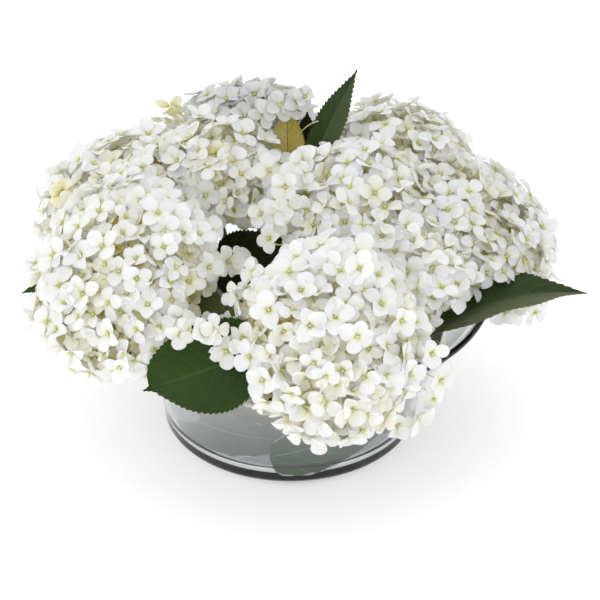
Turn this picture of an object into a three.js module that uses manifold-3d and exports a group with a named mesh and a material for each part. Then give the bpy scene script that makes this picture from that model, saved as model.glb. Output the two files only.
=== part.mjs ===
// Hydrangea centrepiece: a low flared glass bowl, leaves pressed against the inside of its wall, a clear
// set-resin fill that holds the stems, white hydrangea heads on branching stems, and loose leaves.
// Millimetres, +Z up. The origin is the centre of the bowl's foot, on the surface that it stands on, and the
// front of the arrangement faces -Y.

import * as THREE from "three";
import { mergeVertices } from "three/addons/utils/BufferGeometryUtils.js";
import Module from "manifold-3d";

const wasm = await Module();
wasm.setup();

// ---- Driving dimensions ----

const clearance = 0.3; // between any two pieces that touch

const bowl = {
  footRadius: 93,
  waistRadius: 113.6, // where the rounded foot meets the wall
  waistHeight: 12,
  rimRadius: 174,
  height: 137,
  flarePower: 1.7, // above 1 the wall is concave: steep low down, and flaring towards the rim
  wall: 5,
  floor: 9,
  cornerWidth: 11, // of the fillet between the floor and the inside of the wall
  cornerRise: 2.5,
  sides: 44,
};
const headroom = 2; // more room round the bowl, for the flat facets of the round cut that clears it

const liner = {
  shifts: [0, 0, 0, 0, 0, 0, 0.3, 0.1], // of each leaf from even spacing, as a share of the space between two
  length: 150,
  halfWidth: 35,
  fullness: 0.6, // below 1 the ends are blunter than a loose leaf's
  thickness: 0.7,
  tilt: 0.16, // how far a leaf leans, as rise over run
  turn: 0.35, // where the first one lies, as the same share
  slack: 0.4, // beyond the clearance, for the facets of the wall
  midHeight: 60,
  columns: 5,
  rows: 8,
};
const fill = { top: 66, bevel: 1.5, sides: 40 }; // top is the level of the resin above the table

// Stems stand on a ring in the fill, the middle one on a smaller ring, and end at a hub inside their head.
const stem = {
  radius: 2.7,
  footHeight: 13,
  footRing: 36,
  middleRing: 6,
  rise: 60,
  approach: 34,
  hubDepth: 0.75, // below the head's widest circle, as a share of its depth there
  sides: 8,
  steps: 9,
};
const ray = { count: 5, radius: 1.5, spread: 0.95, reach: 0.52, sides: 5 };
const petiole = { radius: 1.5, footHeight: 26, rise: 0.5, approach: 30, overlap: 0.07, sides: 6, steps: 8 };
const dome = { columns: 17, rows: 11, wideSwelling: 0.035, narrowSwelling: 0.02 };
const blade = { thickness: 0.9, fold: 0.16, columns: 4, rows: 8, narrowest: 0.6 };

// Each head is a lumpy dome. centre is the middle of its widest circle, facing is the way that its crown
// points, radius is that of the widest circle, and crown and under are its depths above and below it.
const headShapes = {
  front: { centre: [31, -144, 172], facing: [0.06, -0.74, 0.66], radius: 80, crown: 60, under: 34 },
  left_front: { centre: [-134, -66, 176], facing: [-0.4, -0.55, 0.7], radius: 86, crown: 64, under: 36 },
  centre: { centre: [59, -8, 208], facing: [0.12, -0.25, 0.95], radius: 76, crown: 58, under: 38 },
  right: { centre: [155, 4, 180], facing: [0.5, -0.2, 0.84], radius: 80, crown: 56, under: 36 },
  left_back: { centre: [-142, 44, 185], facing: [-0.36, 0.0, 0.93], radius: 82, crown: 62, under: 38 },
  middle: { centre: [-66, 56, 206], facing: [-0.05, -0.2, 0.95], radius: 68, crown: 56, under: 34 },
  right_front: { centre: [105, -60, 181], facing: [0.25, -0.6, 0.75], radius: 52, crown: 45, under: 26 },
  right_back: { centre: [98, 104, 202], facing: [0.34, 0.42, 0.84], radius: 66, crown: 52, under: 34 },
  back: { centre: [-39, 126, 209], facing: [-0.1, 0.3, 0.94], radius: 70, crown: 55, under: 36 },
};
const heads = Object.entries(headShapes).map(([name, shape]) => ({ name, ...shape }));

// Each loose leaf: root is the angle and radius of its foot in the resin, base and tip are the ends of its
// midrib, up is the way that the middle of its upper face looks, and arch lifts the midrib between its ends.
// A leaf folded more than the others along its midrib has its own fold.
const leafShapes = {
  front_left: { root: [236, 74], base: [-16, -156, 174], tip: [-116, -146, 126], up: [-0.1, -0.86, 0.5],
    halfWidth: 37, arch: 13 },
  left_gap: { root: [214, 62], base: [-40, -88, 146], tip: [-98, -96, 160], up: [0, -0.45, 0.9],
    halfWidth: 26, arch: 6 },
  right: { root: [316, 76], base: [114, -86, 140], tip: [246, -60, 163], up: [-0.1, -0.06, 1],
    halfWidth: 29, arch: 14, fold: 0.36 },
  top: { root: [88, 18], base: [13, 58, 214], tip: [54, 70, 305], up: [-0.5, -0.82, 0.2],
    halfWidth: 16, arch: 3 },
  left: { root: [176, 60], base: [-118, -8, 140], tip: [-229, -20, 138], up: [-0.1, 0, 1],
    halfWidth: 34, arch: 12 },
  centre: { root: [200, 22], base: [-66, -2, 140], tip: [10, -20, 188], up: [0, -0.8, 0.55],
    halfWidth: 32, arch: 5 },
  yellow: { root: [80, 52], base: [-5, 55, 217], tip: [-9, 88, 259], up: [0.1, -0.8, 0.55],
    halfWidth: 15, arch: 3 },
  shaded: { root: [62, 22], base: [12, 82, 202], tip: [15, 90, 256], up: [0, -0.95, 0.2],
    halfWidth: 15, arch: 3 },
  back_left: { root: [128, 72], base: [-72, 112, 150], tip: [-112, 196, 130], up: [-0.2, 0.4, 0.9],
    halfWidth: 34, arch: 16 },
  back_right: { root: [58, 72], base: [52, 122, 150], tip: [58, 212, 122], up: [0.1, 0.4, 0.9],
    halfWidth: 34, arch: 16 },
};
const leaves = Object.entries(leafShapes).map(([name, shape]) => ({ name, ...shape }));

// ---- Solids ----

function solidOf(geometry) {
  const bare = geometry.clone();
  bare.deleteAttribute("normal");
  bare.deleteAttribute("uv");
  const merged = mergeVertices(bare, 1e-4);
  const vertProperties = merged.getAttribute("position").array;
  const triVerts = new Uint32Array(merged.index.array);
  return new wasm.Manifold(new wasm.Mesh({ numProp: 3, vertProperties, triVerts }));
}

function geometryOf(solid) {
  const { vertProperties, triVerts } = solid.getMesh();
  const geometry = new THREE.BufferGeometry();
  geometry.setAttribute("position", new THREE.BufferAttribute(vertProperties, 3));
  geometry.setIndex(new THREE.BufferAttribute(triVerts, 1));
  geometry.computeVertexNormals();
  return geometry;
}

// The biggest separate body of a solid that a cut may have split.
function largestBody(solid) {
  const bodies = solid.decompose();
  bodies.sort((a, b) => b.volume() - a.volume());
  return bodies[0];
}

const upright = new THREE.Vector3(0, 0, 1);
const vector = (xyz) => new THREE.Vector3(...xyz);
const turnTo = (way) => new THREE.Quaternion().setFromUnitVectors(upright, way);

// A round section carried along a curve, with closed ends.
function tube(curve, radius, sides, steps) {
  const axis = new THREE.Vector2();
  const corner = (i) => new THREE.Vector2(radius, 0).rotateAround(axis, (2 * Math.PI * i) / sides);
  const section = new THREE.Shape(Array.from({ length: sides }, (_, i) => corner(i)));
  return solidOf(new THREE.ExtrudeGeometry(section, { steps, bevelEnabled: false, extrudePath: curve }));
}

// A closed sheet: a flat box of columns by rows, each of whose points is placed by place(across, along,
// side), with across from -1 to 1, along from 0 to 1, and side -0.5 on the lower face and 0.5 on the upper.
function sheet(columns, rows, place) {
  const box = new THREE.BoxGeometry(2, 1, 1, columns, rows, 1);
  const position = box.getAttribute("position");
  const point = new THREE.Vector3();
  for (let i = 0; i < position.count; i++) {
    point.fromBufferAttribute(position, i);
    const placed = place(point.x, point.y + 0.5, point.z);
    position.setXYZ(i, placed.x, placed.y, placed.z);
  }
  return solidOf(box);
}

// ---- Glass bowl ----

// The radius of the outer face at a height: a quarter ellipse at the foot, then a wall that flares.
function outerRadius(z) {
  if (z < bowl.waistHeight) {
    const below = 1 - z / bowl.waistHeight;
    return bowl.footRadius + (bowl.waistRadius - bowl.footRadius) * Math.sqrt(1 - below * below);
  }
  const share = (z - bowl.waistHeight) / (bowl.height - bowl.waistHeight);
  return bowl.waistRadius + (bowl.rimRadius - bowl.waistRadius) * share ** bowl.flarePower;
}

// A point of the wall at a height of its outer face, set inwards by a depth along the wall's own normal.
function wallPoint(z, depth) {
  const step = 0.01;
  const slope = new THREE.Vector2(outerRadius(z + step) - outerRadius(z - step), 2 * step).normalize();
  return new THREE.Vector2(outerRadius(z) - depth * slope.y, z + depth * slope.x);
}

// The bowl's section, with its outer face moved out and its inner face moved in by grow.
function bowlSection(grow) {
  const outside = [0, 1, 3, 7, bowl.waistHeight, 30, 52, 73, 92, 110, 125];
  const inside = [118, 100, 80, 58, 38, 22];
  const floorRadius = bowl.footRadius - 2;
  const lip = wallPoint(bowl.height - 1, bowl.wall / 2); // the middle of the rounded rim
  const lipRadius = bowl.wall / 2 + grow;
  const start = -0.55; // square to the flare of the wall at the rim
  const arc = Array.from({ length: 5 }, (_, i) => start + (i * Math.PI) / 4);
  return [
    new THREE.Vector2(0, -grow),
    ...outside.map((z) => new THREE.Vector2(outerRadius(z) + grow, z - (z === 0 ? grow : 0))),
    ...arc.map((a) => new THREE.Vector2(lip.x + lipRadius * Math.cos(a), lip.y + lipRadius * Math.sin(a))),
    ...inside.map((z) => wallPoint(z, bowl.wall + grow)),
    new THREE.Vector2(floorRadius + bowl.cornerWidth, bowl.floor + bowl.cornerRise + grow),
    new THREE.Vector2(floorRadius, bowl.floor + grow),
    new THREE.Vector2(0, bowl.floor + grow),
  ];
}

function lathe(section, sides) {
  return solidOf(new THREE.LatheGeometry(section, sides).rotateX(Math.PI / 2));
}

const glassBowl = lathe(bowlSection(0), bowl.sides);

// The room that the heads leave round the bowl has half as many sides, so it is grown by more than the
// height of the flat facets that those sides make.
const bowlRoom = lathe(bowlSection(clearance + headroom), bowl.sides / 2);

// ---- Liner leaves and resin fill ----

// The half-width of a hydrangea leaf along its midrib, as a share of its widest: round at the base, with a
// drawn-out tip.
function leafOutline(along) {
  return Math.sin(Math.PI * along ** 0.8) ** 0.85 * (1 - 0.25 * along ** 3);
}

// One liner leaf lies on its side against the inside of the wall. Every second one lies a layer further in,
// so that neighbours can lap.
function linerLeaf(index) {
  const layer = index % 2;
  const gap = clearance + liner.slack;
  const face = bowl.wall + gap + layer * (liner.thickness + gap);
  const middle = (2 * Math.PI * (index + liner.turn + liner.shifts[index])) / liner.shifts.length;
  return sheet(liner.columns, liner.rows, (across, along, side) => {
    const x = (along - 0.5) * liner.length;
    const halfWidth = Math.max(liner.halfWidth * leafOutline(along) ** liner.fullness, blade.narrowest);
    const z = liner.midHeight + across * halfWidth + x * liner.tilt * (layer ? -1 : 1);
    const depth = face + (0.5 + side) * liner.thickness;
    const wall = wallPoint(z, depth);
    const angle = middle + x / bowl.waistRadius;
    return new THREE.Vector3(wall.x * Math.cos(angle), wall.x * Math.sin(angle), wall.y);
  });
}

function resinSection() {
  const face = bowl.wall + 2 * (liner.thickness + clearance + liner.slack) + 2 * clearance;
  const base = bowl.floor + clearance;
  const heights = [22, 36, 50, fill.top - 2];
  return [
    new THREE.Vector2(0, base),
    new THREE.Vector2(bowl.footRadius - 4, base),
    new THREE.Vector2(bowl.footRadius + 6.5, base + bowl.cornerRise + 2.2),
    ...heights.map((z) => wallPoint(z, face)),
    new THREE.Vector2(wallPoint(fill.top, face + fill.bevel).x, fill.top),
    new THREE.Vector2(0, fill.top),
  ];
}

// ---- Stems ----

function headAngle(head) {
  return Math.atan2(head.centre[1], head.centre[0]);
}

// The hub is where a stem ends and its rays begin, just under the middle of the head.
function hubOf(head) {
  return vector(head.centre).addScaledVector(vector(head.facing).normalize(), -head.under * stem.hubDepth);
}

function stemCurve(head) {
  const ring = head.name === "centre" ? stem.middleRing : stem.footRing;
  const angle = headAngle(head);
  const foot = new THREE.Vector3(ring * Math.cos(angle), ring * Math.sin(angle), stem.footHeight);
  const hub = hubOf(head);
  const risen = foot.clone().setZ(foot.z + stem.rise);
  const below = hub.clone().addScaledVector(vector(head.facing).normalize(), -stem.approach);
  return new THREE.CubicBezierCurve3(foot, risen, below, hub);
}

function rayCurves(head) {
  const facing = vector(head.facing).normalize();
  const hub = hubOf(head);
  return Array.from({ length: ray.count }, (_, i) => {
    const angle = (2 * Math.PI * i) / ray.count + headAngle(head);
    const way = new THREE.Vector3(Math.sin(ray.spread), 0, Math.cos(ray.spread));
    way.applyAxisAngle(upright, angle).applyQuaternion(turnTo(facing));
    const start = hub.clone().addScaledVector(facing, -stem.radius);
    return new THREE.LineCurve3(start, hub.clone().addScaledVector(way, head.radius * ray.reach));
  });
}

// A stem with its rays, thicker by grow all round for the room that it takes up.
function branchedStem(head, grow) {
  const parts = rayCurves(head).map((curve) => tube(curve, ray.radius + grow, ray.sides, 1));
  const trunk = tube(stemCurve(head), stem.radius + grow, stem.sides, stem.steps);
  return parts.reduce((whole, part) => whole.add(part), trunk);
}

// The same with every end drawn on by a clearance, so that a socket is deeper than what it holds.
function stemRoom(head) {
  const ends = rayCurves(head).map((curve) => {
    const way = curve.v2.clone().sub(curve.v1).normalize();
    const beyond = new THREE.LineCurve3(curve.v2, curve.v2.clone().addScaledVector(way, clearance));
    return tube(beyond, ray.radius + clearance, ray.sides, 1);
  });
  const foot = stemCurve(head).getPoint(0);
  const below = new THREE.LineCurve3(foot.clone().setZ(foot.z + 1), foot.clone().setZ(foot.z - clearance));
  const toe = tube(below, stem.radius + clearance, stem.sides, 1);
  return [...ends, toe].reduce((whole, part) => whole.add(part), branchedStem(head, clearance));
}

// ---- Loose leaves ----

// A leaf's own directions: along from base to tip, across its halves, and up out of its upper face.
function leafAxes(leaf) {
  const along = vector(leaf.tip).sub(vector(leaf.base)).normalize();
  const across = new THREE.Vector3().crossVectors(along, vector(leaf.up)).normalize();
  return { along, across, up: new THREE.Vector3().crossVectors(across, along) };
}

// The midrib is a low arch from the base, where t is 0, to the tip, where it is 1.
function midribPoint(leaf, t) {
  const straight = vector(leaf.base).lerp(vector(leaf.tip), t);
  return straight.addScaledVector(leafAxes(leaf).up, leaf.arch * 4 * t * (1 - t));
}

function petioleCurve(leaf) {
  const [degrees, ring] = leaf.root;
  const angle = THREE.MathUtils.degToRad(degrees);
  const foot = new THREE.Vector3(ring * Math.cos(angle), ring * Math.sin(angle), petiole.footHeight);
  const end = midribPoint(leaf, petiole.overlap);
  const way = end.clone().sub(midribPoint(leaf, 0)).normalize();
  const risen = foot.clone().setZ(foot.z + (end.z - foot.z) * petiole.rise);
  const below = end.clone().addScaledVector(way, -petiole.approach);
  return new THREE.CubicBezierCurve3(foot, risen, below, end);
}

// The blade follows the midrib, and its halves rise a little from it.
function leafBlade(leaf, grow) {
  const { across, up } = leafAxes(leaf);
  const fold = leaf.fold ?? blade.fold;
  const length = vector(leaf.base).distanceTo(vector(leaf.tip));
  return sheet(blade.columns, blade.rows, (s, t, side) => {
    const stretched = t + ((t - 0.5) * 2 * grow) / length;
    const halfWidth = Math.max(leaf.halfWidth * leafOutline(t), blade.narrowest) + grow;
    const height = fold * Math.abs(s) * halfWidth + side * (blade.thickness + 2 * grow);
    return midribPoint(leaf, stretched).addScaledVector(across, s * halfWidth).addScaledVector(up, height);
  });
}

function looseLeaf(leaf, grow) {
  const stalk = tube(petioleCurve(leaf), petiole.radius + grow, petiole.sides, petiole.steps);
  return leafBlade(leaf, grow).add(stalk);
}

// ---- Flower heads ----

// A dome with low swellings, each about as wide as a floret cluster: a few wide ones and more narrow ones.
function headDome(head, grow) {
  const ball = new THREE.SphereGeometry(1, dome.columns, dome.rows).rotateX(Math.PI / 2);
  const position = ball.getAttribute("position");
  const point = new THREE.Vector3();
  for (let i = 0; i < position.count; i++) {
    point.fromBufferAttribute(position, i);
    const azimuth = Math.atan2(point.y, point.x);
    const level = Math.sqrt(Math.max(0, 1 - point.z * point.z));
    const wide = dome.wideSwelling * Math.sin(3 * azimuth + head.radius);
    const swelling = 1 + level * (wide + dome.narrowSwelling * Math.sin(5 * azimuth));
    const depth = (point.z > 0 ? head.crown : head.under) + grow;
    const width = (head.radius + grow) * swelling;
    position.setXYZ(i, point.x * width, point.y * width, point.z * depth);
  }
  ball.applyQuaternion(turnTo(vector(head.facing).normalize())).translate(...head.centre);
  return solidOf(ball);
}

// ---- Assembly ----

const finish = (color, roughness) => new THREE.MeshStandardMaterial({ color, roughness, metalness: 0 });
const clearGlass = finish("#b9c0bf", 0.04);
const clearResin = finish("#c3cbc8", 0.1);
const lappedGreen = finish("#5f7161", 0.6);
const leafGreen = finish("#2c4722", 0.5);
const stemGreen = finish("#7d8f45", 0.6);
const petalWhite = finish("#f2f1e6", 0.8);

const arrangement = new THREE.Group();

function addPiece(name, solid, material) {
  const mesh = new THREE.Mesh(geometryOf(solid), material);
  mesh.name = name;
  arrangement.add(mesh);
}

const stemRooms = heads.map(stemRoom);
const leafRooms = leaves.map((leaf) => looseLeaf(leaf, clearance));

addPiece("glass_bowl", glassBowl, clearGlass);
liner.shifts.forEach((_, i) => addPiece(`liner_leaf_${i + 1}`, linerLeaf(i), lappedGreen));

const sockets = [...stemRooms, ...leafRooms];
const resin = sockets.reduce((block, room) => block.subtract(room), lathe(resinSection(), fill.sides));
addPiece("resin_fill", largestBody(resin), clearResin);

heads.forEach((head) => addPiece(`${head.name}_stem`, branchedStem(head, 0), stemGreen));
leaves.forEach((leaf) => addPiece(`${leaf.name}_leaf`, looseLeaf(leaf, 0), leafGreen));

// Heads press on each other: each is cut to clear the bowl, the stems, the leaves and the heads before it.
heads.forEach((head, i) => {
  const before = heads.slice(0, i).map((other) => headDome(other, clearance));
  const cut = [bowlRoom, ...stemRooms, ...leafRooms, ...before].reduce(
    (dome, room) => dome.subtract(room),
    headDome(head, 0),
  );
  addPiece(`${head.name}_head`, largestBody(cut), petalWhite);
});

export default arrangement;
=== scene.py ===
import math

import bpy
import numpy as np
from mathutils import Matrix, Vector
from mathutils.bvhtree import BVHTree


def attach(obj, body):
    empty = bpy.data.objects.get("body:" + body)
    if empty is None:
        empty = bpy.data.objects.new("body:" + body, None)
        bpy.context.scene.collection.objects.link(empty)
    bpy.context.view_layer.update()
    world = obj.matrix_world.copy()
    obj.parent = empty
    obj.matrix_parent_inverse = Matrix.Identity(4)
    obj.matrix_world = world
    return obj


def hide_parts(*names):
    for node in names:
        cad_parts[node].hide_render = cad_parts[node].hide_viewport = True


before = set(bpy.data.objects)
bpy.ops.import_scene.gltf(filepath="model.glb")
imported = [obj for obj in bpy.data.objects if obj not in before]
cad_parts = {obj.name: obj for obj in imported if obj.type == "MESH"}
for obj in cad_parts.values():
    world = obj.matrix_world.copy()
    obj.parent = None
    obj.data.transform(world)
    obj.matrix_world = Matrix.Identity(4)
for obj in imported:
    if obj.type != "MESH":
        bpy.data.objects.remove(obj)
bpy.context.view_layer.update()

# Hydrangea centrepiece: florets, leaves, stems, glass and fill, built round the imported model.
# The scene is in metres, and the sizes in the dictionaries are in millimetres.
mm = 0.001
chance = np.random.default_rng(412)
upward = np.array([0.0, 0.0, 1.0])


# Arrays and meshes

def unit(v):
    return v / np.linalg.norm(v, axis=-1, keepdims=True)


def frameAbout(axis, spin):
    # three directions at right angles, the last one axis and the other two turned about it by spin
    helper = np.where(np.abs(axis[..., 2:3]) < 0.9, upward, [1.0, 0.0, 0.0])
    side = unit(np.cross(helper, axis))
    front = np.cross(axis, side)
    c, s = np.cos(spin)[..., None], np.sin(spin)[..., None]
    return np.stack([c * side + s * front, c * front - s * side, axis], axis=-1)


def ringFaces(rings, around):
    # quads between neighbouring rings of points, each ring closed on itself
    i, j = np.meshgrid(np.arange(rings - 1), np.arange(around), indexing="ij")
    k = (j + 1) % around
    quads = np.stack([i * around + j, (i + 1) * around + j, (i + 1) * around + k, i * around + k], axis=-1)
    return quads.reshape(-1, 4)


def lensFaces(rows, columns):
    # a closed sheet: each ring runs across its upper face and back across its lower one, and each end
    # is shut by a strip between the two
    around = 2 * columns
    k = np.arange(1, columns - 1)
    strip = np.stack([k, k + 1, around - k - 1, around - k], axis=-1)
    points = np.array([[0, 1, around - 1], [columns - 1, columns, columns + 1]])
    last = (rows - 1) * around
    quads = np.concatenate([ringFaces(rows, around), strip, strip[:, ::-1] + last])
    return [quads, np.concatenate([points, points[:, ::-1] + last])]


def fanFaces(rings, around):
    # the same for a round tube, whose ends are shut by a fan round one more point each
    j = np.arange(around)
    k = (j + 1) % around
    first, last = rings * around, (rings - 1) * around
    start = np.stack([j, k, np.full(around, first)], axis=-1)
    end = np.stack([k + last, j + last, np.full(around, first + 1)], axis=-1)
    return [ringFaces(rings, around), np.concatenate([start, end])]


def repeated(faces, count, size):
    # the faces of one shape for count copies of it, whose points follow each other
    step = (np.arange(count) * size)[:, None, None]
    return [(f[None] + step).reshape(-1, f.shape[1]) for f in faces]


def addMesh(name, points, faces, material, rim=None, uv=None, **values):
    # faces is a list of arrays, one for each number of corners. An edge whose two ends are marked in
    # rim is sharp. Each of values is kept for every point under its name, for the material to read.
    mesh = bpy.data.meshes.new(name)
    points = np.asarray(points, np.float32).reshape(-1, 3)
    corners = np.concatenate([f.reshape(-1) for f in faces]).astype(np.int32)
    totals = np.concatenate([np.full(len(f), f.shape[1]) for f in faces]).astype(np.int32)
    mesh.vertices.add(len(points))
    mesh.vertices.foreach_set("co", points.ravel())
    mesh.loops.add(len(corners))
    mesh.loops.foreach_set("vertex_index", corners)
    mesh.polygons.add(len(totals))
    mesh.polygons.foreach_set("loop_start", np.concatenate([[0], np.cumsum(totals)[:-1]]).astype(np.int32))
    mesh.update(calc_edges=True)
    if uv is not None:
        layer = mesh.uv_layers.new(name="surface")
        layer.data.foreach_set("uv", np.asarray(uv, np.float32).reshape(-1, 2)[corners].ravel())
    for key, value in values.items():
        mesh.attributes.new(key, "FLOAT", "POINT").data.foreach_set("value", value.astype(np.float32).ravel())
    if rim is not None:
        ends = np.empty(len(mesh.edges) * 2, np.int32)
        mesh.edges.foreach_get("vertices", ends)
        sharp = np.asarray(rim).ravel()[ends.reshape(-1, 2)].all(axis=1)
        mesh.attributes.new("sharp_edge", "BOOLEAN", "EDGE").data.foreach_set("value", sharp)
    mesh.validate()
    piece = bpy.data.objects.new(name, mesh)
    bpy.context.scene.collection.objects.link(piece)
    piece.data.materials.append(material)
    return piece


def bezier(p0, p1, p2, p3, t):
    # the cubic curve through its first and last points, with a last axis for x, y and z
    t = t[..., None]
    return (1 - t) ** 3 * p0 + 3 * (1 - t) ** 2 * t * p1 + 3 * (1 - t) * t ** 2 * p2 + t ** 3 * p3


def tubePoints(paths, radii, around):
    # round sections along paths (tubes, steps, xyz), all square to their path, then the two end points
    along = unit(np.gradient(paths, axis=1))
    start = frameAbout(along[:, 0], np.zeros(len(paths)))[..., 0]
    side = np.empty_like(along)
    for i in range(along.shape[1]):
        start = unit(start - (start * along[:, i]).sum(-1, keepdims=True) * along[:, i])
        side[:, i] = start
    other = np.cross(along, side)
    angle = 2 * np.pi * np.arange(around) / around
    outward = np.cos(angle)[:, None] * side[:, :, None] + np.sin(angle)[:, None] * other[:, :, None]
    rings = paths[:, :, None] + outward * np.asarray(radii)[..., None, None]
    ends = paths[:, [0, -1]]
    return np.concatenate([rings.reshape(len(paths), -1, 3), ends], axis=1)


def addTubes(name, paths, radii, around, material, **values):
    points = tubePoints(paths, np.broadcast_to(radii, paths.shape[:2]), around)
    faces = repeated(fanFaces(paths.shape[1], around), len(paths), points.shape[1])
    return addMesh(name, points, faces, material, **values)


def ballRings(rings, around, least):
    # directions from the middle of a ball: rings from top to bottom, least short of the poles, then the poles
    polar = np.linspace(least, np.pi - least, rings)
    angle = 2 * np.pi * np.arange(around) / around
    height = np.broadcast_to(np.cos(polar)[:, None], (rings, around))
    flat = np.sin(polar)[:, None]
    ways = np.stack([flat * np.cos(angle), flat * np.sin(angle), height], axis=-1).reshape(-1, 3)
    return np.concatenate([ways, [upward, -upward]])


# Materials

paintedGlow = 0.036  # painted glow of petals and buds: a faint emission that stands in for the light that comes through them from their neighbours
veins = {"gaps": 8, "bend": 0.26, "curve": 1.3}  # side veins on each half of a leaf, and how they bend to its tip


def linear(colour):
    # an sRGB hex colour as linear red, green, blue and alpha
    parts = [int(colour[i:i + 2], 16) / 255 for i in (1, 3, 5)]
    return [p / 12.92 if p <= 0.04045 else ((p + 0.055) / 1.055) ** 2.4 for p in parts] + [1.0]


def newMaterial(name):
    material = bpy.data.materials.new(name)
    material.use_nodes = True
    tree = material.node_tree
    return material, tree, tree.nodes["Principled BSDF"]


def setInputs(node, inputs):
    # an input that is given a socket is linked to it, and any other is set
    for key, value in inputs.items():
        if isinstance(value, bpy.types.NodeSocket):
            node.id_data.links.new(value, node.inputs[key])
        else:
            node.inputs[key].default_value = value


def addNode(tree, kind, inputs=None, output=0, stops=(), **settings):
    # a shader node with its settings, its inputs and, for a colour ramp, its stops of (position, hex colour).
    # The output that is asked for comes back.
    node = tree.nodes.new("ShaderNode" + kind)
    for key, value in settings.items():
        setattr(node, key, value)
    setInputs(node, inputs or {})
    if stops:
        elements = node.color_ramp.elements
        while len(elements) < len(stops):
            elements.new(0.5)
        for element, (position, colour) in zip(elements, stops):
            element.position = position
            element.color = linear(colour)
    return node.outputs[output]


def patchyColour(tree, size, detail, stops):
    # a colour that drifts between its stops in patches of about a size in millimetres
    place = addNode(tree, "TexCoord", output="Object")
    drift = addNode(tree, "TexNoise", {"Vector": place, "Scale": 1 / (size * mm), "Detail": detail}, "Fac")
    return addNode(tree, "ValToRGB", {"Fac": drift}, stops=stops)


# Hydrangea sepal: a thin, matt, slightly waxy skin that lets light through. White out to the margin,
# yellow-green at the claw, and cream all over in the florets that sit deep: partly young florets, partly painted
# shade for the recess they sit in. Fine veins fan out, three on each half and about 2 mm apart. A head whose
# petals are drawn greyer carries painted shade for sitting further from the light, and all petals carry a faint
# painted glow.
def petalMaterial():
    material, tree, surface = newMaterial("hydrangeaPetal")
    along, side, young, grey = (addNode(tree, "Attribute", output="Fac", attribute_name=key)
                                for key in ("along", "side", "young", "grey"))
    fresh = addNode(tree, "ValToRGB", {"Fac": along}, stops=[
        (0.0, "#d3da86"), (0.1, "#ebedbd"), (0.28, "#f9f9f1"), (1.0, "#f9fafe")])
    deep = addNode(tree, "ValToRGB", {"Fac": along}, stops=[
        (0.0, "#c6cc56"), (0.3, "#ebe484"), (0.65, "#f7f2c4"), (1.0, "#faf8e6")])
    colour = addNode(tree, "Mix", {0: young, 6: fresh, 7: deep}, 2, data_type="RGBA")
    colour = addNode(tree, "Mix", {0: grey, 6: colour, 7: linear("#bcbdba")}, 2, data_type="RGBA")
    fan = addNode(tree, "Math", {0: side, 1: 19.0}, operation="MULTIPLY")
    fan = addNode(tree, "Math", {0: fan}, operation="SINE")
    bump = addNode(tree, "Bump", {"Height": fan, "Strength": 0.12, "Distance": 0.15 * mm})
    setInputs(surface, {
        "Base Color": colour, "Emission Color": colour, "Emission Strength": paintedGlow, "Normal": bump,
        "Roughness": 0.5, "Specular IOR Level": 0.3, "Subsurface Weight": 0.4,
        "Subsurface Radius": (1.0, 0.97, 0.8), "Subsurface Scale": 3.0 * mm,
    })
    return material


# Floret eye: the small closed bud in the middle, smooth and yellow-green, and a little different from one
# floret to the next.
def eyeMaterial():
    material, tree, surface = newMaterial("floretEye")
    colour = patchyColour(tree, 16.67, 2.0, [(0.35, "#d0d478"), (0.65, "#e3e3a0")])
    setInputs(surface, {"Base Color": colour, "Roughness": 0.45})
    return material


# Heart of a head: the close tangle of young buds and stalks behind the florets, cream and yellow-green,
# with buds of 5 mm. Its pale cream is partly painted light for the head's recesses, and it carries the same
# painted glow as the petals.
def heartMaterial():
    material, tree, surface = newMaterial("youngBuds")
    place = addNode(tree, "TexCoord", output="Object")
    buds = addNode(tree, "TexVoronoi", {"Vector": place, "Scale": 1 / (5 * mm)}, "Distance")
    colour = addNode(tree, "ValToRGB", {"Fac": buds}, stops=[(0.1, "#f2ea90"), (0.6, "#e2d662")])
    bump = addNode(tree, "Bump", {"Height": buds, "Strength": 0.6, "Distance": 1.5 * mm})
    setInputs(surface, {
        "Base Color": colour, "Emission Color": colour, "Emission Strength": paintedGlow, "Normal": bump,
        "Roughness": 0.6,
    })
    return material


# Fresh green stalk: smooth skin whose colour changes a little along it, about every 22 mm.
def stalkMaterial(name, stops):
    material, tree, surface = newMaterial(name)
    setInputs(surface, {
        "Base Color": patchyColour(tree, 22.22, 3.0, stops), "Roughness": 0.5,
        "Subsurface Weight": 0.1, "Subsurface Scale": 1.0 * mm,
    })
    return material


def veinDistance(tree):
    # from the leaf's own map: x runs across from edge to edge, y along the midrib. The side veins leave
    # the midrib and bend towards the tip, and the first result is 0 on a vein and 1 half way to the next.
    # The second is 0 on the midrib and 1 at the edge.
    spot = addNode(tree, "UVMap", output="UV", uv_map="surface")
    parts = addNode(tree, "SeparateXYZ", {0: spot}).node.outputs
    across = parts["X"]
    for operation, value in (("MULTIPLY", 2.0), ("SUBTRACT", 1.0), ("ABSOLUTE", 0.0)):
        across = addNode(tree, "Math", {0: across, 1: value}, operation=operation)
    bend = addNode(tree, "Math", {0: across, 1: veins["curve"]}, operation="POWER")
    bend = addNode(tree, "Math", {0: bend, 1: veins["bend"]}, operation="MULTIPLY")
    gap = addNode(tree, "Math", {0: parts["Y"], 1: bend}, operation="SUBTRACT")
    for operation, value in (("MULTIPLY", float(veins["gaps"])), ("ADD", 3.0), ("FRACT", 0.0),
                             ("SUBTRACT", 0.5), ("ABSOLUTE", 0.0), ("MULTIPLY", 2.0)):
        gap = addNode(tree, "Math", {0: gap, 1: value}, operation=operation)
    return addNode(tree, "Math", {0: 1.0, 1: gap}, operation="SUBTRACT"), across


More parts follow.
